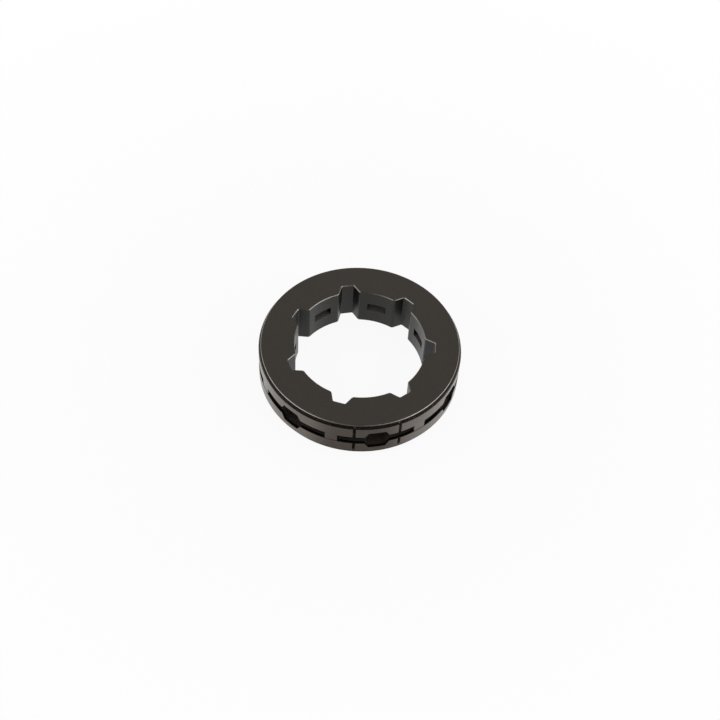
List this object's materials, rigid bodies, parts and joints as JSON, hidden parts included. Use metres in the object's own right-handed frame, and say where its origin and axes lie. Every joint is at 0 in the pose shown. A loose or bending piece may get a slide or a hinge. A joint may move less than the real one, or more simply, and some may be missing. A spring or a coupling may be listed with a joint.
{
  "type": "chainsaw rim sprocket",
  "caption": "Flat steel ring with a splined bore: saw chain straps ride on the two rails of its rim, and drive links drop into the windows between the rails.",
  "frame": {"origin": "centre of the ring's lower flat face", "axes": "+Z along the ring's axis; -Y towards the window whose rails carry the two wear grooves"},
  "size_m": [0.035, 0.035, 0.0078],
  "materials": {
    "oxidised_steel": "satin, dark brown-grey oxide over sintered steel"
  },
  "bodies": {
    "root": {"rim_sprocket": "oxidised_steel"}
  },
  "joints": []
}
